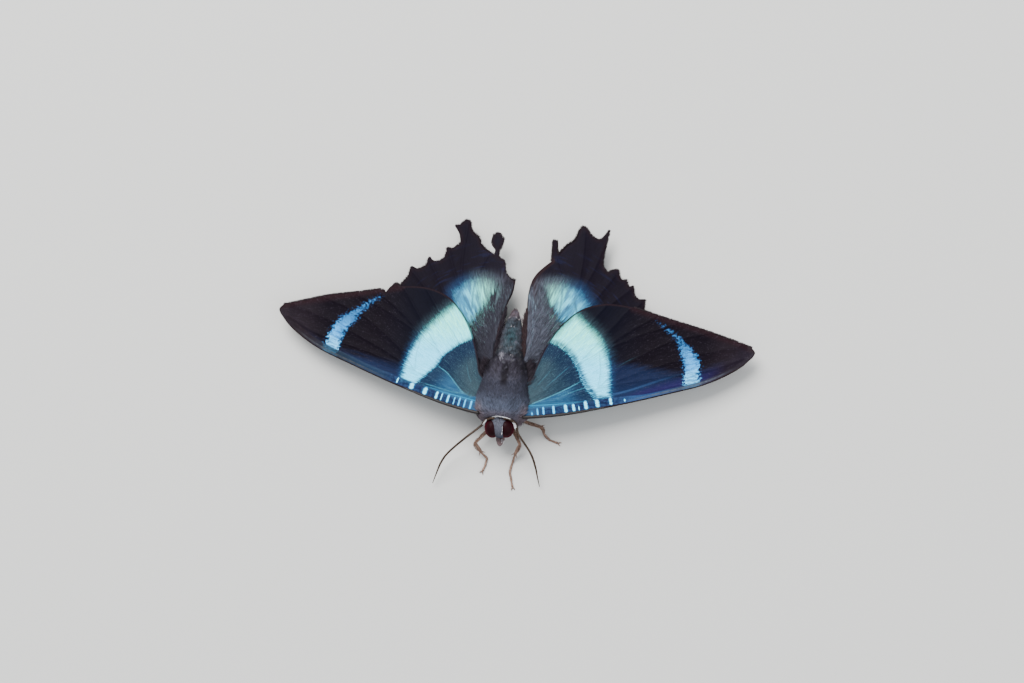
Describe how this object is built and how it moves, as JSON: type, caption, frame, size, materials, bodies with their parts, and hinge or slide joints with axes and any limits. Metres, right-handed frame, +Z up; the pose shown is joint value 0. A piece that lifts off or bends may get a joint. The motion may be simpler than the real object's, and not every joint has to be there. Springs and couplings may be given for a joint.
{
  "type": "day-flying moth model",
  "caption": "Life-size still model of a large swallowtail-like moth at rest, wings spread flat, standing on its six feet.",
  "frame": {"origin": "centre of the bounding box, on the floor the feet stand on", "axes": "+Z up, -Y the way the moth faces, +X towards the tip of its left forewing"},
  "size_m": [0.092, 0.0522, 0.0094],
  "materials": {
    "wing_scales": "satin, black-brown scales with pale mint to sky-blue bands",
    "body_fur": "short grey-brown fur",
    "abdomen_scales": "dark teal-grey scales in rings",
    "eye": "glossy dark maroon",
    "palp": "short pale scales",
    "feeler": "dark brown, ringed",
    "leg": "reddish brown"
  },
  "bodies": {
    "root": {"head": "body_fur", "eye_left": "eye", "eye_right": "eye", "palp_left": "palp", "palp_right": "palp", "feeler_left": "feeler", "feeler_right": "feeler", "collar": "body_fur", "thorax": "body_fur", "abdomen": "abdomen_scales", "foreleg_left": "leg", "foreleg_right": "leg", "midleg_left": "leg", "midleg_right": "leg", "hindleg_left": "leg", "hindleg_right": "leg", "forewing_left": "wing_scales", "forewing_right": "wing_scales", "hindwing_left": "wing_scales", "hindwing_right": "wing_scales"}
  },
  "joints": []
}
